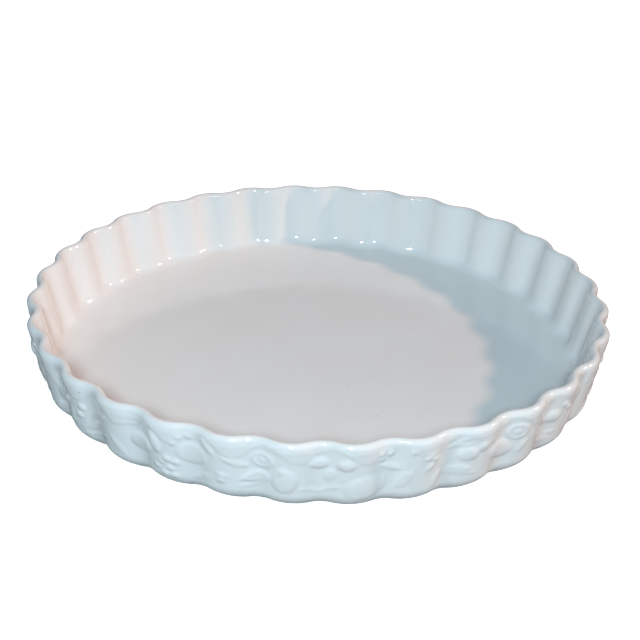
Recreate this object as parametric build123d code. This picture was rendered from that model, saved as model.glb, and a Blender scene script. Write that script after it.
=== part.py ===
from build123d import *
import os
from math import atan2, cos, hypot, pi, sin, sqrt

# Fluted quiche dish in glazed porcelain, in millimetres.
# The origin is the middle of the plane that the foot stands on, and +Z points up.
# Each piece is one region of the fired dish, butted face to face with its neighbours.

# Flutes, counted round the dish, with the middle of one bulge at the first angle in degrees
flute_count = 32
first_flute_angle = 7.0

# Overall form, where the radii are those of the middle of the wall
dish_height = 37.0
lip_middle_radius = 136.45
wall_lean = 6.8
lip_flute_depth = 1.6
foot_flute_depth = 1.2

# Wall, whose thicknesses are square to its slope
lip_thickness = 4.2
foot_thickness = 6.6
lip_land = 0.8
lip_outside_steps = 2
lip_inside_steps = 2

# Tuck, where the outside of the wall rounds in to the foot
foot_tuck = 8.0
tuck_height = 10.0
tuck_steps = 2

# Floor, and the cove that joins it to the wall
floor_thickness = 3.3
cove_radius = 5.4
cove_flute_depth = 1.0
cove_steps = 2
seam_inset = 2.0

# Foot
foot_height = 1.2
seat_width = 3.0
ring_edge = 0.5

# Room that each cutter runs past the face it cuts
overrun = 1.0

# Values worked out from the sizes above
half_pitch = pi / flute_count
lip_round = lip_thickness / 2
lip_rise = sqrt(lip_round**2 - (lip_land / 2) ** 2)
lip_centre_height = dish_height - lip_rise
flare = atan2(wall_lean, lip_centre_height)
floor_top = foot_height + floor_thickness
lip_seam_height = lip_centre_height - lip_round * sin(flare)
cove_turn = pi / 2 - flare
cove_top = floor_top + cove_radius * (1 - cos(cove_turn))


def between(foot_value, lip_value, height):
    """A value that changes evenly from the foot plane to the wall's seam with the lip."""
    return foot_value + (lip_value - foot_value) * height / lip_seam_height


def middle_radius(height):
    """Radius of the wall's middle, between the bulges and the grooves."""
    return lip_middle_radius - wall_lean * (1 - height / lip_centre_height)


def flute_depth(height):
    """Half of the way in from a bulge to a groove, on the wall's middle."""
    return between(foot_flute_depth, lip_flute_depth, height)


def half_width(height):
    """Half of the wall measured level, which its slope makes wider than its thickness."""
    return between(foot_thickness, lip_thickness, height) / 2 / cos(flare)


def tuck(height):
    """How far the outside draws in, ever more steeply down to the foot plane."""
    return foot_tuck * (1 - min(height / tuck_height, 1)) ** 2


def polar(radius, angle, height):
    """A point by its radius and its angle from the first bulge."""
    turned = angle + first_flute_angle * pi / 180
    return Vector(radius * cos(turned), radius * sin(turned), height)


def fluted_wire(height, radius, depth, offset):
    """One level of the flutes: bulge and groove arcs that meet at a tangent.

    On the wall's middle both arcs have the same bend. A face of the wall keeps their
    centres, so an outside has broad bulges and tight grooves, and an inside the reverse.
    """
    crest = radius + depth
    trough = radius - depth
    square = 2 * (1 - cos(half_pitch))
    linear = 2 * (1 + cos(half_pitch)) * (crest - trough)
    gap = crest**2 + trough**2 - 2 * crest * trough * cos(half_pitch)
    bend = (sqrt(linear**2 + 4 * square * gap) - linear) / (2 * square)
    bulge_centre = crest - bend
    groove_centre = trough + bend
    reach = (bend + offset) / (2 * bend)
    join_x = bulge_centre + (groove_centre * cos(half_pitch) - bulge_centre) * reach
    join_y = groove_centre * sin(half_pitch) * reach
    join_radius = hypot(join_x, join_y)
    join_angle = atan2(join_y, join_x)
    edges = []
    for index in range(flute_count):
        bulge = 2 * half_pitch * index
        groove = bulge + half_pitch
        start = polar(join_radius, bulge - join_angle, height)
        middle = polar(join_radius, bulge + join_angle, height)
        end = polar(join_radius, bulge + 2 * half_pitch - join_angle, height)
        edges.append(Edge.make_three_point_arc(start, polar(crest + offset, bulge, height), middle))
        edges.append(Edge.make_three_point_arc(middle, polar(trough + offset, groove, height), end))
    return Wire(edges)


def outside_wire(height):
    """The outside of the wall and the foot at one height."""
    radius = middle_radius(height) - tuck(height)
    return fluted_wire(height, radius, flute_depth(height), half_width(height))


def inside_wire(height):
    """The inside of the wall at one height above the cove."""
    return fluted_wire(height, middle_radius(height), flute_depth(height), -half_width(height))


def tuck_wires():
    """The outside from the foot's seam up to where it runs straight."""
    wires = []
    for step in range(tuck_steps + 1):
        wires.append(outside_wire(foot_height + (tuck_height - foot_height) * step / tuck_steps))
    return wires


def lip_wire(height, offset):
    """One level of the lip, which stands upright over the middle of its round."""
    return fluted_wire(height, lip_middle_radius, lip_flute_depth, offset)


def lip_wires(side, steps):
    """The lip's round on one side, from where the wall's slope touches it up to its land."""
    first = -side * flare
    last = atan2(lip_rise, lip_land / 2)
    wires = []
    for step in range(steps + 1):
        angle = first + (last - first) * step / steps
        height = lip_centre_height + lip_round * sin(angle)
        wires.append(lip_wire(height, side * lip_round * cos(angle)))
    return wires


def cove_wires():
    """The hollow bend from the floor up to where it runs into the wall's inside."""
    wires = []
    for step in range(cove_steps + 1):
        angle = cove_turn * step / cove_steps
        height = floor_top + cove_radius * (1 - cos(angle))
        inward = half_width(cove_top) + cove_radius * (sin(cove_turn) - sin(angle))
        depth = cove_flute_depth + (flute_depth(cove_top) - cove_flute_depth) * step / cove_steps
        wires.append(fluted_wire(height, middle_radius(cove_top), depth, -inward))
    return wires


cove_start_radius = (
    middle_radius(cove_top) - half_width(cove_top) - cove_radius * sin(cove_turn) - cove_flute_depth
)
seam_radius = cove_start_radius - seam_inset
ring_inner_radius = seam_radius - seat_width


def rolled_lip():
    """The rounded rim, from its level seam with the wall to the top of the dish."""
    outside = Solid.make_loft(lip_wires(1, lip_outside_steps), True)
    below = inside_wire(lip_seam_height)
    above = lip_wire(dish_height + overrun, -lip_land / 2)
    inside = Solid.make_loft([below] + lip_wires(-1, lip_inside_steps)[1:] + [above], True)
    return outside - inside


def fluted_wall():
    """The flared wall and its cove, round the floor's seam, from the foot to the lip."""
    outside = Solid.make_loft(tuck_wires() + [outside_wire(lip_seam_height)], True)
    above = inside_wire(lip_seam_height + overrun)
    inside = Solid.make_loft(cove_wires() + [above], True)
    seam = Pos(0, 0, foot_height - overrun) * Cylinder(
        seam_radius, floor_thickness + 2 * overrun, align=(Align.CENTER, Align.CENTER, Align.MIN)
    )
    return outside - inside - seam


def baking_floor():
    """The flat slab inside, which closes the dish between the cove and the foot."""
    return Pos(0, 0, foot_height) * Cylinder(
        seam_radius, floor_thickness, align=(Align.CENTER, Align.CENTER, Align.MIN)
    )


def foot_ring():
    """The bare ring that the dish stands on, fluted outside and round inside."""
    outside = Solid.make_loft([outside_wire(0), outside_wire(foot_height)], True)
    recess = Pos(0, 0, -overrun) * Cylinder(
        ring_inner_radius, foot_height + 2 * overrun, align=(Align.CENTER, Align.CENTER, Align.MIN)
    )
    ring = outside - recess
    lower_edges = ring.faces().sort_by(Axis.Z)[0].edges()
    inner_edge = lower_edges.filter_by(lambda edge: edge.is_closed)
    return chamfer(inner_edge, ring_edge)


pieces = {
    "rolled_lip": rolled_lip(),
    "fluted_wall": fluted_wall(),
    "baking_floor": baking_floor(),
    "foot_ring": foot_ring(),
}

os.makedirs("parts", exist_ok=True)
for name, piece in pieces.items():
    export_step(piece, "parts/" + name + ".step")
    print(name, "solids", len(piece.solids()), "volume", round(piece.volume), "valid", piece.is_valid)
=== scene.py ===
"""Fluted quiche dish in white glazed porcelain, with a fruit garland in low relief."""
from math import atan2, cos, pi, radians, sin, sqrt

import bpy
import numpy as np
from bpy.props import FloatProperty, FloatVectorProperty, IntProperty, PointerProperty
from mathutils import Matrix, Vector


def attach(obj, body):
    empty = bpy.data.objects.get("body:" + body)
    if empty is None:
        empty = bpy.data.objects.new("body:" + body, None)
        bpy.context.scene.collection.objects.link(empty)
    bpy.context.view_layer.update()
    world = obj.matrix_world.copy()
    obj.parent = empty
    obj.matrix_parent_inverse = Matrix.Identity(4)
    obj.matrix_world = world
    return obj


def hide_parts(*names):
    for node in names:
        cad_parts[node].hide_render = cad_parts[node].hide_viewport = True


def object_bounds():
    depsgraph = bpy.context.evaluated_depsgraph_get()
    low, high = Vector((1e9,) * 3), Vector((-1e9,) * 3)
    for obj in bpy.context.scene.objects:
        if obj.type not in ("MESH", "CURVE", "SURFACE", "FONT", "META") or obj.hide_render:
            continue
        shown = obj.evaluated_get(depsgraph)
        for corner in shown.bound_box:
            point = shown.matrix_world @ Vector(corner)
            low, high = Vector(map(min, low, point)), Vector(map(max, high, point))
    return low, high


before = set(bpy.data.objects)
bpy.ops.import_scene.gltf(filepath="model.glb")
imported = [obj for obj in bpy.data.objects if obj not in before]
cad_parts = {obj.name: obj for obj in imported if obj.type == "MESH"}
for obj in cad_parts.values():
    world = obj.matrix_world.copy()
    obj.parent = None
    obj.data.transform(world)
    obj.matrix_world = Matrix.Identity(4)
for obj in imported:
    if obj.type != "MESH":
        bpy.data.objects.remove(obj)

bl_info = {
    "name": "Fluted quiche dish",
    "version": (1, 0, 0),
    "blender": (4, 5, 0),
    "location": "3D View > Sidebar > Dish",
    "description": "Makes a fluted porcelain quiche dish around its packed solids",
    "category": "Add Mesh",
}

SOLID_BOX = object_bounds()
BODY = "root"

# Steps across one flute. The wall and the lip have the same number, so that they meet.
COLUMNS = 42
FLOOR_COLUMNS = 8
FOOT_COLUMNS = 24

# Rows of points along each surface
OUTSIDE_ROWS = 53
INSIDE_ROWS = 9
COVE_ROWS = 9
LIP_OUTER_ROWS = 15
LIP_INNER_ROWS = 13
FLOOR_ROWS = 45
FOOT_OUTER_ROWS = 7
FOOT_INNER_ROWS = 5

# Copies of a flute whose points are nearer than this, in metres, are joined there.
MERGE_DISTANCE = 2e-6

# Folds steeper than this are shaded as edges.
SHARP_ANGLE = radians(50.0)

# Bends of about this radius, in metres, count as clear hollows or ridges.
CLEAR_BEND = 0.006

# The garland takes up at most this share of the room between the wall and the lip's outside.
GARLAND_ROOM = 0.8

# Towards its edge the floor's unevenness fades out over this width, in metres.
FLOOR_FADE = 0.02

# Lens in mm and its shift, which give the photo's framing
LENS = 68.23
SHIFT_X = 0.0045
SHIFT_Y = 0.0543

# Round lights: their widths and their offsets from the camera in metres, how many times as
# far from the dish as that place the soft one stands, and the glint's power in watts
COOL_SIZE = 0.12
COOL_OFFSET = Vector((-0.02, 0.0, 0.03))
COOL_DISTANCE = 1.5
GLINT_SIZE = 0.08
GLINT_OFFSET = Vector((-0.02, 0.0, 0.07))
GLINT_POWER = 1.5

# The warm light's height above the horizon, its turn from the right towards the back, and
# its width
WARM_RISE = radians(32.3)
WARM_TURN = radians(7.0)
WARM_WIDTH = radians(4.5)

# Stage, in metres: its innermost ring, where its sheet starts to rise, the radius of that
# bend, the sheet's height, and the table top's radius and how far it is sunk
STAGE_RING = 0.6
SHEET_FLAT = 1.2
SHEET_BEND = 1.0
SHEET_TOP = 3.0
TABLE_RADIUS = 3.0
TABLE_SUNK = 0.0005


def length(name, description, default):
    """A size of the dish in metres."""
    return FloatProperty(
        name=name, description=description, default=default, min=0.0, precision=5,
        unit="LENGTH", subtype="DISTANCE",
    )


def colour(name, description, default):
    """A colour in linear light."""
    return FloatVectorProperty(
        name=name, description=description, default=default, size=3, min=0.0, max=1.0,
        subtype="COLOR",
    )


def factor(name, description, default):
    """A share from 0 to 1."""
    return FloatProperty(
        name=name, description=description, default=default, min=0.0, max=1.0, subtype="FACTOR"
    )


def angle_of(name, description, degrees):
    """An angle, given in degrees."""
    return FloatProperty(
        name=name, description=description, default=radians(degrees),
        unit="ROTATION", subtype="ANGLE",
    )


def power(name, description, default):
    """A light's power or strength."""
    return FloatProperty(name=name, description=description, default=default, min=0.0)


def soft_step(value):
    """A smooth rise from 0 to 1."""
    share = np.clip(value, 0.0, 1.0)
    return share * share * (3 - 2 * share)


class DishSizes(bpy.types.PropertyGroup):
    """The dish's sizes, whose radii are those of the middle of the wall."""

    flute_count: IntProperty(
        name="Flutes", description="Number of flutes round the dish", default=32, min=8
    )
    first_flute: angle_of("First flute", "Angle of the middle of one bulge", 7.0)
    height: length("Height", "Height of the dish", SOLID_BOX[1].z)
    lip_radius: length("Lip radius", "Radius of the lip's middle", 0.13645)
    wall_lean: length("Wall lean", "How far the wall leans out from foot to lip", 0.0068)
    lip_flute: length("Lip flutes", "Half of a flute's depth at the lip", 0.0016)
    foot_flute: length("Foot flutes", "Half of a flute's depth at the foot", 0.0012)
    lip_thickness: length("Lip thickness", "Thickness of the wall at the lip", 0.0042)
    foot_thickness: length("Foot thickness", "Thickness of the wall at the foot", 0.0066)
    lip_land: length("Lip land", "Width of the flat on top of the lip", 0.0008)
    foot_tuck: length("Foot tuck", "How far the outside draws in to the foot", 0.008)
    tuck_height: length("Tuck height", "Height above which the outside runs straight", 0.01)
    floor_thickness: length("Floor thickness", "Thickness of the floor", 0.0033)
    cove_radius: length("Cove radius", "Radius of the hollow bend round the floor", 0.0054)
    cove_flute: length("Cove flutes", "Half of a flute's depth where the cove starts", 0.001)
    seam_inset: length("Seam inset", "How far the floor's edge is inside the cove", 0.002)
    foot_height: length("Foot height", "Height of the foot ring", 0.0012)
    seat_width: length("Seat width", "How far the foot ring reaches under the floor", 0.003)
    ring_edge: length("Ring edge", "Rounding of the foot ring's lower edges", 0.0005)
    relief: length("Relief", "Height of the garland on the wall", 0.0009)
    unevenness: length("Unevenness", "How far the surface strays from its true form", 0.00022)


class DishGlaze(bpy.types.PropertyGroup):
    """The dish's finishes."""

    glaze: colour("Glaze", "White glaze on the open surfaces", (0.82, 0.82, 0.81))
    # Glaze gathered in hollows, cooler in tint; the same colour also paints shade into the
    # recesses
    pooled_glaze_and_shade: colour("Pooled glaze", "Glaze where it has gathered in hollows", (0.80, 0.835, 0.85))
    # Painted shade: a dark colour laid at the bottom of creases and in the deepest hollows
    painted_crease_shade: colour("Creases", "Glaze at the bottom of creases", (0.58, 0.57, 0.56))
    # Glaze thinned on ridges, darker and warmer; on the lip and the garland's tops it also paints
    # shade over bright light
    thin_glaze_and_ridge_shade: colour("Thin glaze", "Glaze where it has drawn off ridges", (0.72, 0.675, 0.62))
    speck: colour("Specks", "Dark specks in the glaze", (0.16, 0.13, 0.11))
    bare: colour("Bare porcelain", "Unglazed porcelain under the foot", (0.74, 0.71, 0.66))
    roughness: factor("Glaze roughness", "Roughness of the glaze", 0.09)


class DishStage(bpy.types.PropertyGroup):
    """The lights' colours and powers, and the camera's place."""

    cool: colour("Cool light", "Colour of the soft light behind the camera", (0.72, 0.907, 1.0))
    warm: colour("Warm light", "Colour of the light from the right", (1.0, 0.60, 0.43))
    room: colour("Room", "Colour of the light all round", (0.71, 0.865, 1.0))
    cool_power: power("Cool power", "Power of the soft light in watts", 6.1)
    warm_power: power("Warm power", "Strength of the warm light", 1.56)
    room_power: power("Room power", "Strength of the room's light", 0.28)
    distance: length("Camera distance", "From the camera to the middle of the foot", 0.6105)
    elevation: angle_of("Camera elevation", "Height of the camera above the horizon", 29.147)
    roll: angle_of("Camera roll", "Turn of the camera about its view", 1.61)


class Form:
    """Levels and radii of the dish, worked out from its sizes."""

    def __init__(self, sizes):
        self.sizes = sizes
        self.half_pitch = pi / sizes.flute_count
        self.lip_round = sizes.lip_thickness / 2
        self.lip_rise = sqrt(self.lip_round**2 - (sizes.lip_land / 2) ** 2)
        self.lip_centre = sizes.height - self.lip_rise
        self.flare = atan2(sizes.wall_lean, self.lip_centre)
        self.lip_seam = self.lip_centre - self.lip_round * sin(self.flare)
        self.floor_top = sizes.foot_height + sizes.floor_thickness
        self.cove_turn = pi / 2 - self.flare
        self.cove_top = self.floor_top + sizes.cove_radius * (1 - cos(self.cove_turn))
        start = self.middle(self.cove_top) - self.half_width(self.cove_top)
        start -= sizes.cove_radius * sin(self.cove_turn) + sizes.cove_flute
        self.seam_radius = start - sizes.seam_inset
        self.ring_inner = self.seam_radius - sizes.seat_width

    def between(self, foot, lip, height):
        """A value that changes evenly from the foot plane to the wall's seam with the lip."""
        return foot + (lip - foot) * height / self.lip_seam

    def middle(self, height):
        """Radius of the wall's middle."""
        return self.sizes.lip_radius - self.sizes.wall_lean * (1 - height / self.lip_centre)

    def depth(self, height):
        """Half of a flute's depth."""
        return self.between(self.sizes.foot_flute, self.sizes.lip_flute, height)

    def half_width(self, height):
        """Half of the wall, measured level."""
        thickness = self.between(self.sizes.foot_thickness, self.sizes.lip_thickness, height)
        return thickness / 2 / cos(self.flare)

    def outside(self, height, inset=0.0):
        """One level of the outside, which rounds in to the foot."""
        tuck = self.sizes.foot_tuck * (1 - min(height / self.sizes.tuck_height, 1)) ** 2
        offset = self.half_width(height) - inset
        return (height, self.middle(height) - tuck, self.depth(height), offset)

    def inside(self, height):
        """One level of the wall's inside, above the cove."""
        return (height, self.middle(height), self.depth(height), -self.half_width(height))

    def lip(self, side, angle):
        """One level of the lip's round, at an angle up from its middle."""
        rise = self.lip_rise if angle > 0 else self.lip_round
        height = self.lip_centre + rise * sin(angle)
        offset = side * self.lip_round * cos(angle)
        return (height, self.sizes.lip_radius, self.sizes.lip_flute, offset)

    def cove(self, share):
        """One level of the cove, from the floor at 0 to the wall's inside at 1."""
        sizes = self.sizes
        angle = self.cove_turn * share
        height = self.floor_top + sizes.cove_radius * (1 - cos(angle))
        inward = self.half_width(self.cove_top)
        inward += sizes.cove_radius * (sin(self.cove_turn) - sin(angle))
        depth = sizes.cove_flute + (self.depth(self.cove_top) - sizes.cove_flute) * share
        return (height, self.middle(self.cove_top), depth, -inward)

    def level(self, height, radius, depth, offset, columns):
        """One flute's points at one level, from groove to groove with its bulge on +X.

        Bulge and groove are arcs that meet at a tangent. Both faces of the wall keep
        their centres, so an outside has broad bulges and an inside broad grooves.
        """
        turns = np.linspace(-1.0, 1.0, columns + 1)
        if depth == 0.0:
            angles = turns * self.half_pitch
            points = np.stack([radius * np.cos(angles), radius * np.sin(angles)], 1)
            return np.column_stack([points, np.full(columns + 1, height)])
        crest, trough, turn = radius + depth, radius - depth, self.half_pitch
        square = 2 * (1 - cos(turn))
        linear = 2 * (1 + cos(turn)) * (crest - trough)
        gap = crest**2 + trough**2 - 2 * crest * trough * cos(turn)
        bend = (sqrt(linear**2 + 4 * square * gap) - linear) / (2 * square)
        bulge = np.array([crest - bend, 0.0])
        groove = (trough + bend) * np.array([cos(turn), sin(turn)])
        lean = atan2(groove[1] - bulge[1], groove[0] - bulge[0])
        outer, inner = bend + offset, bend - offset
        run = outer * lean
        along = np.abs(turns) * (run + inner * (lean - turn))
        first = np.minimum(along, run) / outer
        second = lean - np.maximum(along - run, 0.0) / inner
        on_bulge = bulge + outer * np.stack([np.cos(first), np.sin(first)], 1)
        on_groove = groove - inner * np.stack([np.cos(second), np.sin(second)], 1)
        points = np.where((along <= run)[:, None], on_bulge, on_groove)
        points[:, 1] *= np.sign(turns)
        return np.column_stack([points, np.full(columns + 1, height)])

    def round_level(self, height, radius, columns):
        """One flute's width of a plain circle."""
        return self.level(height, radius, 0.0, 0.0, columns)


def repeat_tree():
    """The tree that repeats one flute round the axis and joins the copies."""
    tree = bpy.data.node_groups.get("Repeat round the axis")
    if tree:
        return tree
    tree = bpy.data.node_groups.new("Repeat round the axis", "GeometryNodeTree")
    face = tree.interface
    face.new_socket("Geometry", in_out="INPUT", socket_type="NodeSocketGeometry")
    face.new_socket("Count", in_out="INPUT", socket_type="NodeSocketInt")
    face.new_socket("First Angle", in_out="INPUT", socket_type="NodeSocketFloat")
    face.new_socket("Merge Distance", in_out="INPUT", socket_type="NodeSocketFloat")
    face.new_socket("Material", in_out="INPUT", socket_type="NodeSocketMaterial")
    face.new_socket("Geometry", in_out="OUTPUT", socket_type="NodeSocketGeometry")

    def add(kind, settings=None, links=None):
        node = tree.nodes.new(kind)
        for name, value in (settings or {}).items():
            setattr(node, name, value)
        for name, value in (links or {}).items():
            if isinstance(value, bpy.types.NodeSocket):
                tree.links.new(value, node.inputs[name])
            else:
                node.inputs[name].default_value = value
        return node

    sizes = add("NodeGroupInput").outputs
    stations = add("GeometryNodeMeshLine", links={"Count": sizes["Count"], "Offset": (0, 0, 0)})
    step = add("ShaderNodeMath", {"operation": "DIVIDE"}, {0: 2 * pi, 1: sizes["Count"]})
    index = add("GeometryNodeInputIndex")
    angle = add(
        "ShaderNodeMath", {"operation": "MULTIPLY_ADD"},
        {0: index.outputs[0], 1: step.outputs[0], 2: sizes["First Angle"]},
    )
    euler = add("ShaderNodeCombineXYZ", links={"Z": angle.outputs[0]})
    rotation = add("FunctionNodeEulerToRotation", links={0: euler.outputs[0]})
    copies = add(
        "GeometryNodeInstanceOnPoints",
        links={
            "Points": stations.outputs["Mesh"], "Instance": sizes["Geometry"],
            "Rotation": rotation.outputs[0],
        },
    )
    real = add("GeometryNodeRealizeInstances", links={"Geometry": copies.outputs[0]})
    joined = add(
        "GeometryNodeMergeByDistance",
        links={"Geometry": real.outputs[0], "Distance": sizes["Merge Distance"]},
    )
    solid = add("GeometryNodeRealizeInstances", links={"Geometry": joined.outputs[0]})
    finished = add(
        "GeometryNodeSetMaterial",
        links={"Geometry": solid.outputs[0], "Material": sizes["Material"]},
    )
    out = add("NodeGroupOutput")
    tree.links.new(finished.outputs[0], out.inputs["Geometry"])
    return tree


def add_mark(mesh, name, values):
    """Stores a value on each of the mesh's points."""
    layer = mesh.attributes.new(name, "FLOAT", "POINT")
    layer.data.foreach_set("value", values)


def marks_of(mesh, name):
    """One of the mesh's marks as an array."""
    values = np.empty(len(mesh.vertices))
    mesh.attributes[name].data.foreach_get("value", values)
    return values


def flute_mesh(name, levels, outside, free):
    """One flute's closed band of the given levels, with two marks kept on each level's points.

    The first is 1 on the dish's outside. The second falls to 0 at the seams, where the
    surface keeps its true form so that it meets its neighbour.
    """
    rows, columns = len(levels), len(levels[0])
    index = np.arange(rows * columns).reshape(rows, columns)
    after = np.roll(index, -1, axis=0)
    quads = np.stack([index[:, :-1], index[:, 1:], after[:, 1:], after[:, :-1]], -1)
    mesh = bpy.data.meshes.new(name)
    mesh.from_pydata(np.concatenate(levels).tolist(), [], quads.reshape(-1, 4).tolist())
    add_mark(mesh, "outside", np.repeat(np.array(outside, float), columns))
    add_mark(mesh, "free", np.repeat(np.array(free, float), columns))
    return mesh


def fade(count, first=0, last=0):
    """Marks for a run of levels that rise from 0 over the first few and fall over the last few."""
    index = np.arange(count)
    marks = np.ones(count)
    if first:
        marks *= soft_step(index / first)
    if last:
        marks *= soft_step((count - 1 - index) / last)
    return marks.tolist()


def all_round(name, mesh, sizes, material):
    """The flute repeated round the dish by the tree, as a plain mesh object."""
    piece = bpy.data.objects.new(name, mesh)
    bpy.context.scene.collection.objects.link(piece)
    tree = repeat_tree()
    modifier = piece.modifiers.new("Repeat", "NODES")
    modifier.node_group = tree
    values = {
        "Count": sizes.flute_count, "First Angle": sizes.first_flute,
        "Merge Distance": MERGE_DISTANCE, "Material": material,
    }
    for item in tree.interface.items_tree:
        if item.in_out == "INPUT" and item.name in values:
            modifier[item.identifier] = values[item.name]
    bpy.context.view_layer.update()
    view = bpy.context.evaluated_depsgraph_get()
    whole = bpy.data.meshes.new_from_object(piece.evaluated_get(view), depsgraph=view)
    piece.modifiers.clear()
    piece.data = whole
    whole.name = name
    bpy.data.meshes.remove(mesh)
    if len(whole.polygons) < sizes.flute_count:
        raise RuntimeError(name + " was not repeated round the dish")
    return piece


def points_of(mesh):
    """The mesh's points as an array."""
    flat = np.empty(len(mesh.vertices) * 3)
    mesh.vertices.foreach_get("co", flat)
    return flat.reshape(-1, 3)


def set_points(mesh, points):
    """Moves the mesh's points."""
    mesh.vertices.foreach_set("co", points.ravel())
    mesh.update()


def normals_of(mesh):
    """The mesh's point normals as an array."""
    flat = np.empty(len(mesh.vertices) * 3, np.float32)
    mesh.vertex_normals.foreach_get("vector", flat)
    return flat.reshape(-1, 3).astype(float)


def turn_outwards(mesh):
    """Flips the faces where the closed mesh is inside out."""
    mesh.calc_loop_triangles()
    corners = np.empty(len(mesh.loop_triangles) * 3, np.int32)
    mesh.loop_triangles.foreach_get("vertices", corners)
    a, b, c = (points_of(mesh)[corners.reshape(-1, 3)[:, i]] for i in range(3))
    if np.einsum("ij,ij->i", a, np.cross(b, c)).sum() < 0:
        mesh.flip_normals()


def neighbours(mesh):
    """The two ends of each of the mesh's edges, and how many edges meet at each point."""
    pairs = np.empty(len(mesh.edges) * 2, np.int32)
    mesh.edges.foreach_get("vertices", pairs)
    one, two = pairs.reshape(-1, 2).T
    return one, two, np.bincount(pairs, minlength=len(mesh.vertices))


def spread(mesh, values, rounds):
    """Values on the points, each replaced by the average of its neighbours."""
    one, two, count = neighbours(mesh)
    size = len(mesh.vertices)
    for _ in range(rounds):
        columns = values.reshape(size, -1)
        sums = [
            np.bincount(one, column[two], size) + np.bincount(two, column[one], size)
            for column in columns.T
        ]
        values = (np.stack(sums, 1) / count[:, None]).reshape(values.shape)
    return values


def mark_hollows(mesh):
    """Stores how hollow the surface is at each point, from -1 on ridges to 1 in hollows."""
    points, normals = points_of(mesh), normals_of(mesh)
    average = spread(mesh, points, 1)
    one, two, count = neighbours(mesh)
    squares = ((points[one] - points[two]) ** 2).sum(1)
    size = len(points)
    near = (np.bincount(one, squares, size) + np.bincount(two, squares, size)) / count
    bend = np.einsum("ij,ij->i", average - points, normals) / near
    free = marks_of(mesh, "free")
    add_mark(mesh, "hollow", free * np.tanh(spread(mesh, bend * free, 3) * CLEAR_BEND))


def stray(points):
    """A slow unevenness over the fired piece, from 0 to 1.

    Its waves are about 12, 5 and 3 cm long.
    """
    x, y, z = points.T
    waves = np.sin(31 * x + 17 * y + 40 * z + 0.7) + np.sin(-23 * x + 41 * y + 2.1)
    waves += 0.6 * np.sin(67 * x - 53 * y + 90 * z + 4.0) + 0.6 * np.sin(71 * x + 88 * y + 1.3)
    waves += 0.35 * np.sin(139 * x + 121 * y - 160 * z) + 0.35 * np.sin(-163 * x + 149 * y + 3.0)
    return 0.5 + 0.5 * waves / 3.9


def make_uneven(mesh, sizes):
    """Draws the surface in a little, by an amount that changes slowly from place to place."""
    points, normals = points_of(mesh), normals_of(mesh)
    depth = sizes.unevenness * stray(points) * marks_of(mesh, "free")
    set_points(mesh, points - normals * depth[:, None])


def finish_piece(piece, node):
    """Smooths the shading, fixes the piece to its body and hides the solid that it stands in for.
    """
    mesh = piece.data
    mesh.polygons.foreach_set("use_smooth", np.ones(len(mesh.polygons), bool))
    mesh.set_sharp_from_angle(angle=SHARP_ANGLE)
    mesh.update()
    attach(piece, BODY)
    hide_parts(node)


def turned(across, up, degrees):
    """Distances turned to a shape's own long and short ways."""
    angle = radians(degrees)
    return across * cos(angle) + up * sin(angle), up * cos(angle) - across * sin(angle)


def fruit(across, up, long, short, degrees):
    """A full, rounded fruit."""
    a, b = turned(across, up, degrees)
    square = (a / long) ** 2 + (b / short) ** 2
    return np.clip(1 - square, 0, 1) ** 0.45


def ring_fruit(across, up, long, short, degrees):
    """A halved fruit with a rim and a stone."""
    a, b = turned(across, up, degrees)
    reach = np.sqrt((a / long) ** 2 + (b / short) ** 2)
    rim = np.exp(-(((reach - 0.86) / 0.16) ** 2))
    stone = np.clip(1 - (reach / 0.52) ** 2, 0, 1) ** 0.7
    flesh = 0.3 * (reach < 0.9)
    height = np.maximum(0.85 * rim, np.maximum(0.75 * stone, flesh))
    return np.where(reach < 1.35, height, 0)


def leaf(across, up, long, short, degrees):
    """A pointed leaf with a midrib and side veins."""
    a, b = turned(across, up, degrees)
    share = np.clip(1 - (a / long) ** 2, 0, 1)
    width = short * share * (1 + 0.25 * a / long) + 1e-6
    edge = 1 - np.abs(b) / width
    body = 0.72 * soft_step(edge * 1.9)
    rib = 0.22 * np.exp(-((b / 0.45) ** 2))
    veins = 0.10 * np.sin((a + 0.9 * np.abs(b)) * 2 * pi / 2.3) * soft_step(edge * 3)
    return np.where((share > 0) & (edge > 0), body - rib + veins, 0)


def stalk(across, up, points, width):
    """A rounded ridge that follows a line of points."""
    reach = np.full(across.shape, np.inf)
    for (x0, y0), (x1, y1) in zip(points, points[1:]):
        run = (x1 - x0) ** 2 + (y1 - y0) ** 2
        share = np.clip(((across - x0) * (x1 - x0) + (up - y0) * (y1 - y0)) / run, 0, 1)
        aside = across - x0 - share * (x1 - x0)
        above = up - y0 - share * (y1 - y0)
        reach = np.minimum(reach, np.hypot(aside, above))
    return np.clip(1 - (reach / width) ** 2, 0, 1)


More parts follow.
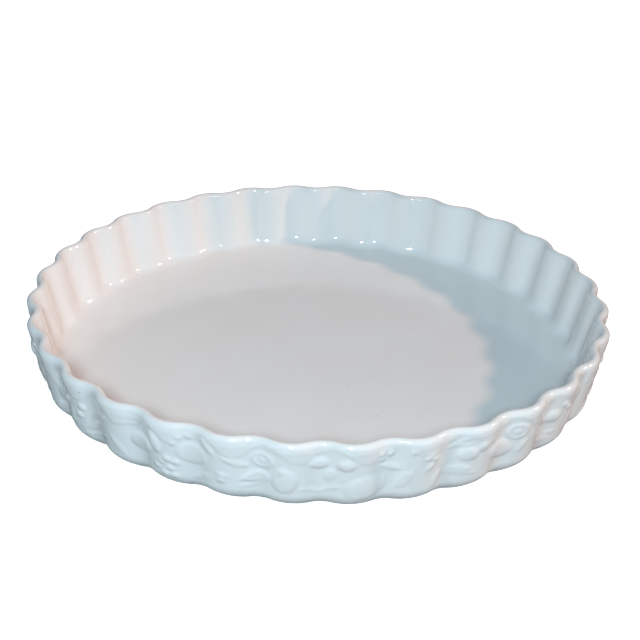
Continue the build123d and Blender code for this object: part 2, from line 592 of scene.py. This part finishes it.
# One third of the garland: kind, angle in degrees, height in mm, long and short half
# lengths in mm, turn in degrees, and strength. It is repeated in each third of the dish.
MOTIFS = (
    (leaf, 212.6, 27.0, 4.6, 2.0, 50.0, 0.8),
    (fruit, 214.8, 20.0, 4.4, 3.6, 60.0, 0.9),
    (leaf, 213.0, 12.0, 5.6, 2.4, 30.0, 0.8),
    (fruit, 218.2, 27.4, 1.6, 1.6, 0.0, 1.0),
    (fruit, 219.4, 24.6, 1.6, 1.6, 0.0, 1.0),
    (fruit, 217.6, 22.6, 1.6, 1.6, 0.0, 0.9),
    (leaf, 219.4, 15.6, 6.4, 2.6, 60.0, 0.8),
    (fruit, 223.4, 24.0, 1.9, 1.9, 0.0, 1.0),
    (fruit, 222.6, 19.4, 1.8, 1.8, 0.0, 0.9),
    (leaf, 227.4, 23.6, 7.4, 2.1, 42.0, 0.8),
    (leaf, 226.4, 16.6, 7.2, 2.4, 36.0, 0.9),
    (leaf, 232.8, 15.4, 6.8, 2.6, -52.0, 0.7),
    (fruit, 238.3, 21.4, 6.0, 4.7, 8.0, 1.2),
    (fruit, 241.9, 26.0, 5.9, 2.6, 105.0, 1.2),
    (fruit, 244.0, 18.6, 1.9, 1.7, 0.0, 1.0),
    (fruit, 245.5, 17.4, 1.9, 1.7, 0.0, 1.0),
    (fruit, 242.9, 16.4, 1.7, 1.6, 0.0, 0.9),
    (fruit, 241.9, 13.4, 1.9, 1.7, 0.0, 1.0),
    (fruit, 244.5, 13.9, 1.9, 1.7, 0.0, 1.0),
    (fruit, 243.4, 10.5, 1.9, 1.7, 0.0, 1.0),
    (fruit, 245.1, 10.1, 1.9, 1.7, 0.0, 0.9),
    (fruit, 248.7, 23.6, 7.2, 6.0, 0.0, 0.9),
    (fruit, 246.6, 31.0, 1.5, 1.4, 0.0, 0.9),
    (fruit, 248.2, 32.0, 1.9, 1.5, 0.0, 0.9),
    (fruit, 245.5, 27.6, 1.5, 1.4, 0.0, 0.8),
    (leaf, 251.9, 30.4, 5.0, 1.9, -54.0, 1.1),
    (leaf, 250.2, 12.6, 5.4, 2.2, 30.0, 0.7),
    (leaf, 254.3, 17.0, 3.0, 1.5, -10.0, 0.9),
    (fruit, 254.1, 14.4, 1.9, 1.7, 0.0, 0.8),
    (leaf, 256.6, 24.4, 5.6, 2.0, -22.0, 0.9),
    (ring_fruit, 261.4, 27.0, 4.5, 3.9, 0.0, 1.0),
    (leaf, 259.9, 17.6, 6.8, 3.7, 24.0, 1.1),
    (fruit, 265.2, 17.6, 6.6, 5.2, 75.0, 1.0),
    (fruit, 264.8, 22.4, 2.6, 2.0, 75.0, 1.1),
    (fruit, 270.8, 27.0, 4.0, 3.0, 0.0, 1.3),
    (fruit, 275.3, 26.8, 3.6, 2.9, 0.0, 1.2),
    (leaf, 272.6, 20.8, 3.8, 2.9, 80.0, 0.8),
    (fruit, 278.6, 14.6, 8.2, 6.4, 15.0, 1.0),
    (fruit, 281.2, 31.0, 1.3, 1.6, 0.0, 1.3),
    (fruit, 282.8, 30.8, 1.4, 1.8, 0.0, 1.3),
    (fruit, 281.4, 28.0, 1.3, 1.1, 0.0, 1.2),
    (leaf, 282.9, 23.8, 5.2, 2.1, -18.0, 1.0),
    (leaf, 285.4, 16.4, 6.0, 3.0, 60.0, 0.6),
    (fruit, 286.6, 31.2, 1.5, 1.5, 0.0, 0.9),
    (fruit, 289.3, 27.2, 1.5, 1.4, 0.0, 1.1),
    (fruit, 290.7, 26.2, 1.6, 1.5, 0.0, 1.2),
    (fruit, 290.3, 28.8, 1.2, 1.2, 0.0, 0.9),
    (leaf, 289.8, 22.0, 3.8, 1.6, 50.0, 0.9),
    (leaf, 291.4, 14.4, 5.4, 2.4, 70.0, 0.7),
    (fruit, 297.1, 24.2, 4.5, 3.9, -8.0, 1.2),
    (fruit, 299.8, 27.0, 2.9, 2.7, -20.0, 1.0),
    (leaf, 296.0, 16.6, 5.8, 2.2, -14.0, 0.8),
    (fruit, 304.6, 20.0, 7.0, 5.0, -25.0, 1.2),
    (ring_fruit, 307.8, 27.0, 4.9, 4.0, -12.0, 1.0),
    (leaf, 309.4, 18.4, 4.6, 2.2, 60.0, 0.8),
    (leaf, 314.8, 25.0, 5.2, 1.7, -38.0, 1.0),
    (fruit, 318.2, 23.8, 4.2, 3.2, -15.0, 1.2),
    (leaf, 316.6, 13.0, 5.4, 2.4, -20.0, 0.8),
    (fruit, 320.6, 28.6, 1.5, 1.4, 0.0, 1.0),
    (fruit, 321.8, 26.4, 1.5, 1.4, 0.0, 1.0),
    (leaf, 323.8, 19.4, 6.0, 2.8, 60.0, 0.9),
    (fruit, 327.4, 24.0, 4.6, 3.8, 70.0, 1.0),
    (fruit, 326.2, 14.0, 4.4, 3.2, 20.0, 0.9),
)

# Stems, each a line of points given as an angle in degrees and a height in mm
VINES = (
    (211.0, 31.0, 213.0, 24.0, 216.0, 17.0, 221.0, 13.6),
    (222.6, 12.6, 226.0, 19.6, 230.8, 27.2),
    (223.4, 9.8, 227.0, 12.6, 230.4, 16.4),
    (233.2, 27.4, 237.0, 29.4, 240.2, 33.0),
    (234.6, 31.4, 238.6, 32.4, 241.4, 34.4),
    (257.4, 12.0, 259.4, 12.8, 261.2, 14.8, 262.4, 18.0),
    (267.6, 13.9, 269.6, 13.4, 270.9, 11.7, 272.3, 13.6, 274.6, 15.2),
    (282.0, 19.0, 282.1, 14.0, 280.8, 10.6, 277.0, 8.4),
    (293.3, 28.8, 295.0, 30.4, 296.7, 32.4),
    (293.6, 28.8, 297.2, 29.0),
    (293.2, 16.9, 294.4, 15.0, 296.6, 14.0, 298.9, 13.3),
    (311.6, 23.6, 313.2, 19.4, 316.0, 16.0, 319.4, 14.6),
    (321.6, 22.0, 323.0, 15.0, 326.8, 9.8),
)

# Where the garland's third starts and how wide it is, in degrees
PART_START = 210.0
PART = 120.0

# Radius in mm at which angles become distances, and the wall's slope, which lengthens heights
REACH = 134.0
SLOPE = 1.06

# Stems: half of their width in mm, and their strength
VINE_WIDTH = 0.75
VINE_STRENGTH = 0.5

# Scalloped border under the lip: where a scallop hangs lowest and how far apart scallops are,
# in degrees, then its lowest edge, how far the edge swings up and how soft it is, in mm
SCALLOP_START = 256.5
SCALLOP_PITCH = 11.25
SCALLOP_LOW = 27.0
SCALLOP_SWING = 7.2
SCALLOP_SOFTNESS = 1.1
SCALLOP_STRENGTH = 0.34

# Heights in mm where the garland starts and ends, and over which it rises and falls away
GARLAND_START = 2.2
GARLAND_RISE = 1.6
GARLAND_END = 34.4
GARLAND_FALL = 1.1


def relief_at(angles, heights):
    """Height of the garland from 0 to about 1.3, at angles in degrees and heights in mm."""
    here = PART_START + np.mod(angles - PART_START, PART)
    mm = REACH * pi / 180
    total = np.zeros(angles.shape)
    for kind, angle, height, long, short, degrees, strength in MOTIFS:
        gap = np.mod(here - angle + PART / 2, PART) - PART / 2
        near = (np.abs(gap * mm) < 1.4 * long) & (np.abs(heights - height) < 1.4 * long + 1)
        across, up = gap[near] * mm, (heights[near] - height) * SLOPE
        total[near] = np.maximum(total[near], strength * kind(across, up, long, short, degrees))
    for line in VINES:
        points = [(x * mm, y * SLOPE) for x, y in zip(line[::2], line[1::2])]
        ridge = stalk(here * mm, heights * SLOPE, points, VINE_WIDTH)
        total = np.maximum(total, VINE_STRENGTH * ridge)
    swing = np.sin((here - SCALLOP_START) * pi / SCALLOP_PITCH) ** 2
    edge = SCALLOP_LOW + SCALLOP_SWING * swing
    border = SCALLOP_STRENGTH * soft_step((heights - edge) / SCALLOP_SOFTNESS + 0.5)
    total = np.maximum(total, border)
    start = soft_step((heights - GARLAND_START) / GARLAND_RISE)
    return total * (start * soft_step((GARLAND_END - heights) / GARLAND_FALL))


class Amount:
    """A socket's value, so that shader maths can be written as Python expressions."""

    def __init__(self, finish, socket):
        self.finish = finish
        self.socket = socket

    def math(self, operation, *values):
        return self.finish.add("Math", {"operation": operation}, dict(enumerate(values)))

    def __add__(self, other):
        return self.math("ADD", self, other)

    def __sub__(self, other):
        return self.math("SUBTRACT", self, other)

    def __rsub__(self, other):
        return self.math("SUBTRACT", other, self)

    def __mul__(self, other):
        return self.math("MULTIPLY", self, other)

    __radd__ = __add__
    __rmul__ = __mul__

    def step(self, low, high):
        """A smooth rise from 0 at low to 1 at high, or a fall where low is the larger."""
        return self.finish.add(
            "MapRange", {"interpolation_type": "SMOOTHSTEP"},
            {"Value": self, "From Min": low, "From Max": high},
        )


class Finish:
    """A material whose nodes all come from add."""

    def __init__(self, name):
        self.material = bpy.data.materials.new(name)
        self.material.use_nodes = True
        self.tree = self.material.node_tree
        self.tree.nodes.clear()

    def add(self, kind, settings=None, values=None, output=0):
        """Adds a node, makes its settings, then fills or links its sockets."""
        node = self.tree.nodes.new("ShaderNode" + kind)
        for name, value in (settings or {}).items():
            setattr(node, name, value)
        for name, value in (values or {}).items():
            if isinstance(value, Amount):
                self.tree.links.new(value.socket, node.inputs[name])
            else:
                node.inputs[name].default_value = value
        return None if output is None else Amount(self, node.outputs[output])

    def mix(self, share, first, second):
        """A colour between two others."""
        first, second = (c if isinstance(c, Amount) else (*c, 1.0) for c in (first, second))
        return self.add("Mix", {"data_type": "RGBA"}, {0: share, 6: first, 7: second}, output=2)

    def place(self):
        """The place on the piece, in metres."""
        return self.add("TexCoord", output=3)

    def noise(self, place, scale, detail=2.0, roughness=0.5):
        """Cloudy noise, about 0.5 on average."""
        return self.add(
            "TexNoise", None,
            {"Vector": place, "Scale": scale, "Detail": detail, "Roughness": roughness},
        )

    def surface(self, constants, varying):
        """Ends the material in one shader, with its constant and its varying sockets."""
        shader = self.add("BsdfPrincipled", None, {**constants, **varying})
        self.add("OutputMaterial", None, {"Surface": shader}, output=None)
        return self.material


def glaze_finish(name, look, wear=0.0):
    """White glaze with specks and fine pits, cooler where it gathers in hollows and darker where
    it thins on ridges, both partly painted shade, and with painted shade in creases.
    """
    finish = Finish(name)
    place = finish.place()

    # Faint clouds, then colours laid by the hollow mark: a cool tint where glaze gathers in
    # hollows, partly painted shade; painted shade in creases; and darker thinned glaze on ridges,
    # partly painted shade
    hollow = finish.add("Attribute", {"attribute_name": "hollow"}, output=2)
    cloud = finish.noise(place, 22.0, 3.0, 0.55)
    base = finish.mix(cloud.step(0.25, 0.75) * 0.20, look.glaze, look.thin_glaze_and_ridge_shade)
    # Cool tint in hollows: partly glaze gathering there, partly painted shade
    base = finish.mix(hollow.step(0.10, 0.75) * 0.85, base, look.pooled_glaze_and_shade)
    # Painted shade darkens the deepest hollows and creases
    base = finish.mix(hollow.step(0.55, 1.0) * 0.5, base, look.painted_crease_shade)
    # Ridges darker: partly thinned glaze, partly painted shade that dims the lit lip and the
    # garland's tops
    base = finish.mix(hollow.step(-0.25, -0.80) * 0.75, base, look.thin_glaze_and_ridge_shade)

    # Dark specks about half a millimetre wide, in only some of the cells
    cells = finish.add(
        "TexVoronoi", {"feature": "F1"}, {"Vector": place, "Scale": 110.0, "Randomness": 1.0}
    )
    lot = finish.noise(place, 60.0, 0.0)
    specks = cells.step(0.042, 0.018) * lot.step(0.51, 0.55)
    base = finish.mix(specks * 0.8, base, look.speck)

    # A mottled gloss, with slow ripples and fine pits in the surface
    mottle = finish.noise(place, 55.0, 2.0)
    rough = look.roughness + mottle.step(0.35, 0.75) * 0.05
    ripple = finish.noise(place, 160.0, 2.0, 0.45)
    pits = finish.noise(place, 900.0, 1.0)
    relief = ripple * 0.7 + pits * 0.12
    bump = finish.add("Bump", None, {"Height": relief, "Distance": 0.00005, "Strength": 0.6})

    # Faint streaks where knives have worn the gloss
    if wear:
        stretch = {"Vector": place, "Scale": (1.0, 9.0, 1.0), "Rotation": (0, 0, 0.6)}
        lines = finish.noise(finish.add("Mapping", None, stretch), 90.0, 2.0)
        rough = rough + lines.step(0.55, 0.80) * wear
    return finish.surface({"IOR": 1.52}, {"Base Color": base, "Roughness": rough, "Normal": bump})


def foot_finish(name, look):
    """Bare matt porcelain below, with the glaze's edge round the outside."""
    finish = Finish(name)
    place = finish.place()
    height = finish.add("SeparateXYZ", None, {"Vector": place}, output=2)
    grain = finish.noise(place, 1400.0, 3.0, 0.6)
    cloud = finish.noise(place, 40.0, 2.0)
    edge = (height + (cloud - 0.5) * 0.0004).step(0.00045, 0.00065)
    grey = tuple(0.82 * c for c in look.bare)
    bare = finish.mix(cloud.step(0.3, 0.7) * 0.5, look.bare, grey)
    base = finish.mix(edge, bare, look.glaze)
    rough = 0.62 - edge * 0.50
    bump = finish.add(
        "Bump", None, {"Height": grain * (1 - edge * 0.9), "Distance": 0.00006, "Strength": 0.7}
    )
    return finish.surface({"IOR": 1.5}, {"Base Color": base, "Roughness": rough, "Normal": bump})


class DISH_OT_wall(bpy.types.Operator):
    """Makes the fluted wall with the garland in relief on its outside"""

    bl_idname = "dish.wall"
    bl_label = "Wall and garland"

    def execute(self, context):
        sizes, look = context.scene.dish_sizes, context.scene.dish_glaze
        form = Form(sizes)
        outside = np.linspace(sizes.foot_height, form.lip_seam, OUTSIDE_ROWS)
        inside = np.linspace(form.lip_seam, form.cove_top, INSIDE_ROWS)
        cove = np.linspace(1, 0, COVE_ROWS)[1:]
        levels = [form.level(*form.outside(z), COLUMNS) for z in outside]
        levels += [form.level(*form.inside(z), COLUMNS) for z in inside]
        levels += [form.level(*form.cove(share), COLUMNS) for share in cove]
        levels.append(form.round_level(form.floor_top, form.seam_radius, COLUMNS))
        levels.append(form.round_level(sizes.foot_height, form.seam_radius, COLUMNS))
        marks = [1.0] * len(outside) + [0.0] * (len(levels) - len(outside))
        free = fade(OUTSIDE_ROWS, 6, 6) + fade(INSIDE_ROWS, 3) + fade(COVE_ROWS, 0, 4)[1:]
        mesh = flute_mesh("wall flute", levels, marks, free + [0.0, 0.0])
        glaze = glaze_finish("wall glaze", look)
        piece = all_round("porcelain_wall", mesh, sizes, glaze)
        turn_outwards(piece.data)
        make_uneven(piece.data, sizes)
        points, normals = points_of(piece.data), normals_of(piece.data)
        x, y, z = points.T
        rise = relief_at(np.degrees(np.arctan2(y, x)), z * 1000)
        rise = sizes.relief * spread(piece.data, rise * (marks_of(piece.data, "outside") > 0.5), 1)
        room = sizes.lip_radius + sizes.lip_flute + form.lip_round - np.hypot(x, y)
        rise = np.minimum(rise, GARLAND_ROOM * room)
        set_points(piece.data, points + normals * rise[:, None])
        mark_hollows(piece.data)
        finish_piece(piece, "fluted_wall")
        return {"FINISHED"}


class DISH_OT_lip(bpy.types.Operator):
    """Makes the rounded lip that follows the flutes"""

    bl_idname = "dish.lip"
    bl_label = "Rolled lip"

    def execute(self, context):
        sizes, look = context.scene.dish_sizes, context.scene.dish_glaze
        form = Form(sizes)
        top = atan2(form.lip_rise, sizes.lip_land / 2)
        outer = [form.lip(1, angle) for angle in np.linspace(-form.flare, top, LIP_OUTER_ROWS)]
        inner = [form.lip(-1, angle) for angle in np.linspace(top, form.flare, LIP_INNER_ROWS)]
        foot = form.inside(form.lip_seam)
        levels = [form.level(*row, COLUMNS) for row in outer + inner + [foot]]
        free = fade(LIP_OUTER_ROWS, 5) + fade(LIP_INNER_ROWS, 0, 4) + [0.0]
        mesh = flute_mesh("lip flute", levels, [1.0] * len(levels), free)
        piece = all_round("rounded_lip", mesh, sizes, glaze_finish("lip glaze", look))
        turn_outwards(piece.data)
        make_uneven(piece.data, sizes)
        mark_hollows(piece.data)
        finish_piece(piece, "rolled_lip")
        return {"FINISHED"}


class DISH_OT_floor(bpy.types.Operator):
    """Makes the flat floor inside the dish"""

    bl_idname = "dish.floor"
    bl_label = "Baking floor"

    def execute(self, context):
        sizes, look = context.scene.dish_sizes, context.scene.dish_glaze
        form = Form(sizes)
        radii = np.linspace(0.0, form.seam_radius, FLOOR_ROWS)[1:]
        levels = [form.round_level(form.floor_top, r, FLOOR_COLUMNS) for r in radii]
        levels += [form.round_level(sizes.foot_height, r, FLOOR_COLUMNS) for r in radii[::-1]]
        rows, width = len(levels), FLOOR_COLUMNS + 1
        index = np.arange(rows * width).reshape(rows, width)
        quads = np.stack([index[:-1, :-1], index[:-1, 1:], index[1:, 1:], index[1:, :-1]], -1)
        centres = (rows * width, rows * width + 1)
        faces = quads.reshape(-1, 4).tolist()
        faces += [[centres[0], index[0, i + 1], index[0, i]] for i in range(FLOOR_COLUMNS)]
        faces += [[centres[1], index[-1, i], index[-1, i + 1]] for i in range(FLOOR_COLUMNS)]
        middle = [[0.0, 0.0, form.floor_top], [0.0, 0.0, sizes.foot_height]]
        mesh = bpy.data.meshes.new("floor slice")
        mesh.from_pydata(np.concatenate(levels).tolist() + middle, [], faces)
        free = soft_step((form.seam_radius - radii) / FLOOR_FADE)
        add_mark(mesh, "free", np.append(np.repeat([*free, *free[::-1]], width), [1, 1]))
        piece = all_round("glazed_floor", mesh, sizes, glaze_finish("floor glaze", look, 0.06))
        turn_outwards(piece.data)
        make_uneven(piece.data, sizes)
        mark_hollows(piece.data)
        finish_piece(piece, "baking_floor")
        return {"FINISHED"}


class DISH_OT_foot(bpy.types.Operator):
    """Makes the foot ring that the dish stands on"""

    bl_idname = "dish.foot"
    bl_label = "Foot ring"

    def execute(self, context):
        sizes, look = context.scene.dish_sizes, context.scene.dish_glaze
        form = Form(sizes)
        levels = []
        for share in np.linspace(0.0, 1.0, FOOT_OUTER_ROWS):
            height = sizes.foot_height * (1 - cos(share * pi / 2))
            inset = sizes.ring_edge * (1 - sin(share * pi / 2))
            levels.append(form.level(*form.outside(height, inset), FOOT_COLUMNS))
        levels.append(form.round_level(sizes.foot_height, form.ring_inner, FOOT_COLUMNS))
        for share in np.linspace(0.0, 1.0, FOOT_INNER_ROWS):
            height = sizes.ring_edge * (1 - sin(share * pi / 2))
            radius = form.ring_inner + sizes.ring_edge * (1 - cos(share * pi / 2))
            levels.append(form.round_level(height, radius, FOOT_COLUMNS))
        mesh = flute_mesh("foot flute", levels, [0.0] * len(levels), [0.0] * len(levels))
        piece = all_round("bare_foot", mesh, sizes, foot_finish("bare porcelain", look))
        turn_outwards(piece.data)
        finish_piece(piece, "foot_ring")
        return {"FINISHED"}


class DISH_OT_stage(bpy.types.Operator):
    """Makes the pale floor, the light and the camera"""

    bl_idname = "dish.stage"
    bl_label = "Stage, light and camera"

    def execute(self, context):
        scene, stage = context.scene, context.scene.dish_stage
        self.lay_table(scene)

        world = bpy.data.worlds.new("room")
        world.use_nodes = True
        room = world.node_tree.nodes["Background"].inputs
        room["Color"].default_value = (*stage.room, 1.0)
        room["Strength"].default_value = stage.room_power
        scene.world = world

        eye = Vector((0.0, -cos(stage.elevation), sin(stage.elevation))) * stage.distance
        lens = bpy.data.cameras.new("camera")
        lens.sensor_width = 36.0
        lens.lens = LENS
        lens.shift_x = SHIFT_X
        lens.shift_y = SHIFT_Y
        lens.clip_start, lens.clip_end = 0.01, 20.0
        camera = self.put(scene, lens, eye)
        camera.matrix_world = camera.matrix_world @ Matrix.Rotation(stage.roll, 4, "Z")
        scene.camera = camera

        cool = self.disk("cool light", COOL_SIZE, stage.cool_power)
        cool.color = stage.cool
        self.put(scene, cool, COOL_DISTANCE * (eye + COOL_OFFSET))
        glint = self.disk("glint", GLINT_SIZE, GLINT_POWER)
        self.put(scene, glint, eye + GLINT_OFFSET).visible_diffuse = False

        warm = bpy.data.lights.new("warm light", "SUN")
        warm.angle = WARM_WIDTH
        warm.energy = stage.warm_power
        warm.color = stage.warm
        level = cos(WARM_RISE)
        across, behind = level * cos(WARM_TURN), level * sin(WARM_TURN)
        self.put(scene, warm, Vector((across, behind, sin(WARM_RISE))))

        scene.view_settings.view_transform = "Standard"
        scene.view_settings.look = "None"
        return {"FINISHED"}

    def lay_table(self, scene):
        """Lays the pale sheet that the camera sees, and the table top that gives back light."""
        paper = Finish("pale table").surface(
            {
                "Base Color": (0.86, 0.87, 0.88, 1.0), "Roughness": 0.8,
                "Emission Color": (1.0, 1.0, 1.0, 1.0), "Emission Strength": 0.80,
            }, {},
        )
        profile = [(STAGE_RING, 0.0), (SHEET_FLAT, 0.0)]
        for angle in np.linspace(0.1, pi / 2, 12):
            profile.append((SHEET_FLAT + SHEET_BEND * sin(angle), SHEET_BEND * (1 - cos(angle))))
        profile.append((SHEET_FLAT + SHEET_BEND, SHEET_TOP))
        sheet = self.lay(scene, "pale sheet", profile, paper)
        sheet.visible_diffuse = sheet.visible_glossy = sheet.visible_shadow = False
        grey = {"Base Color": (0.36, 0.36, 0.36, 1.0), "Roughness": 0.9}
        board = Finish("table top").surface(grey, {})
        profile = [(STAGE_RING, -TABLE_SUNK), (TABLE_RADIUS, -TABLE_SUNK)]
        table = self.lay(scene, "table top", profile, board)
        table.visible_camera = False

    def lay(self, scene, name, profile, finish):
        """Makes a round sheet under the dish from its profile of radii and heights."""
        turns = np.linspace(0, 2 * pi, 65)[:-1]
        places = [(r * cos(t), r * sin(t), z) for r, z in profile for t in turns]
        ring = np.arange(len(places)).reshape(len(profile), -1)
        after = np.roll(ring, -1, axis=1)
        faces = np.stack([ring[:-1], ring[1:], after[1:], after[:-1]], -1).reshape(-1, 4).tolist()
        faces += [[len(places), a, b] for a, b in zip(ring[0], after[0])]
        mesh = bpy.data.meshes.new(name)
        mesh.from_pydata(places + [(0.0, 0.0, profile[0][1])], [], faces)
        mesh.polygons.foreach_set("use_smooth", np.ones(len(mesh.polygons), bool))
        mesh.materials.append(finish)
        sheet = bpy.data.objects.new(name, mesh)
        scene.collection.objects.link(sheet)
        return sheet

    def disk(self, name, size, energy):
        """A round light."""
        light = bpy.data.lights.new(name, "AREA")
        light.shape = "DISK"
        light.size = size
        light.energy = energy
        return light

    def put(self, scene, data, place):
        """Puts a light or the camera at a place, aimed at the middle of the foot."""
        piece = bpy.data.objects.new(data.name, data)
        scene.collection.objects.link(piece)
        aim = (-place).to_track_quat("-Z", "Y").to_matrix().to_4x4()
        piece.matrix_world = Matrix.Translation(place) @ aim
        return piece


class DISH_PT_panel(bpy.types.Panel):
    """Lists the dish's sizes and finishes and the steps that make it"""

    bl_idname = "DISH_PT_panel"
    bl_label = "Quiche dish"
    bl_space_type = "VIEW_3D"
    bl_region_type = "UI"
    bl_category = "Dish"

    def draw(self, context):
        for group in GROUPS:
            box = self.layout.box()
            owner = getattr(context.scene, GROUPS[group])
            for name in group.__annotations__:
                box.prop(owner, name)
        for step in STEPS:
            self.layout.operator(step.bl_idname)


GROUPS = {DishSizes: "dish_sizes", DishGlaze: "dish_glaze", DishStage: "dish_stage"}
STEPS = (DISH_OT_wall, DISH_OT_lip, DISH_OT_floor, DISH_OT_foot, DISH_OT_stage)


def register():
    for kind in (*GROUPS, *STEPS, DISH_PT_panel):
        bpy.utils.register_class(kind)
    for group, name in GROUPS.items():
        setattr(bpy.types.Scene, name, PointerProperty(type=group))


def unregister():
    for name in GROUPS.values():
        delattr(bpy.types.Scene, name)
    for kind in reversed((*GROUPS, *STEPS, DISH_PT_panel)):
        bpy.utils.unregister_class(kind)


def main():
    register()
    bpy.ops.dish.wall()
    bpy.ops.dish.lip()
    bpy.ops.dish.floor()
    bpy.ops.dish.foot()
    bpy.ops.dish.stage()


if __name__ == "__main__":
    main()
